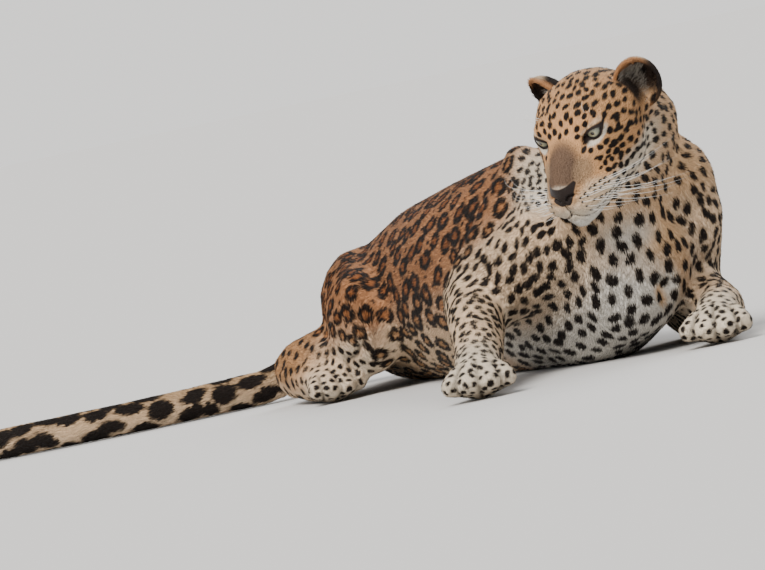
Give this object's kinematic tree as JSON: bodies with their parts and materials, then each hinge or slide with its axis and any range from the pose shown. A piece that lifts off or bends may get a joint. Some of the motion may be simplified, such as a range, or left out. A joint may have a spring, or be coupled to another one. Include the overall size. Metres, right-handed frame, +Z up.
{
  "type": "leopard",
  "caption": "Life-size still model of a leopard lying on its chest with raised head turned to its right, right foreleg drawn forward, tail laid out behind.",
  "frame": {"origin": "on the floor under the chest, in the middle of the flat that the breastbone rests on, below the withers", "axes": "+X from the rump to the chest, +Y to the animal's left side, +Z up"},
  "size_m": [1.3145, 0.7856, 0.334],
  "materials": {
    "body_coat": "short rusty orange fur with dark rosettes",
    "leg_coat": "short cream fur with solid dark spots",
    "head_coat": "short tan fur with small dark spots, white below",
    "ear": "thin ears, black behind, brown in front with pale hairs inside",
    "eye": "wet, pale grey-green iris with a small round pupil",
    "nose_leather": "dark moist nose leather and lip and lid edges",
    "whisker": "stiff white whiskers and brow hairs"
  },
  "bodies": {
    "root": {"ear_left": "ear", "ear_right": "ear", "head": "head_coat", "neck": "head_coat", "chest": "leg_coat", "belly": "body_coat", "rump": "body_coat", "eye_left": "eye", "eye_right": "eye", "foreleg_upper_left": "leg_coat", "foreleg_upper_right": "leg_coat", "foreleg_lower_left": "leg_coat", "foreleg_lower_right": "leg_coat", "forepaw_left": "leg_coat", "forepaw_right": "leg_coat", "hindleg_upper_left": "body_coat", "hindleg_upper_right": "body_coat", "hindleg_lower_left": "body_coat", "hindleg_lower_right": "body_coat", "hindpaw_left": "leg_coat", "hindpaw_right": "leg_coat", "tail_root": "body_coat", "tail_middle": "body_coat", "tail_rear": "body_coat", "tail_tip": "body_coat"}
  },
  "joints": []
}
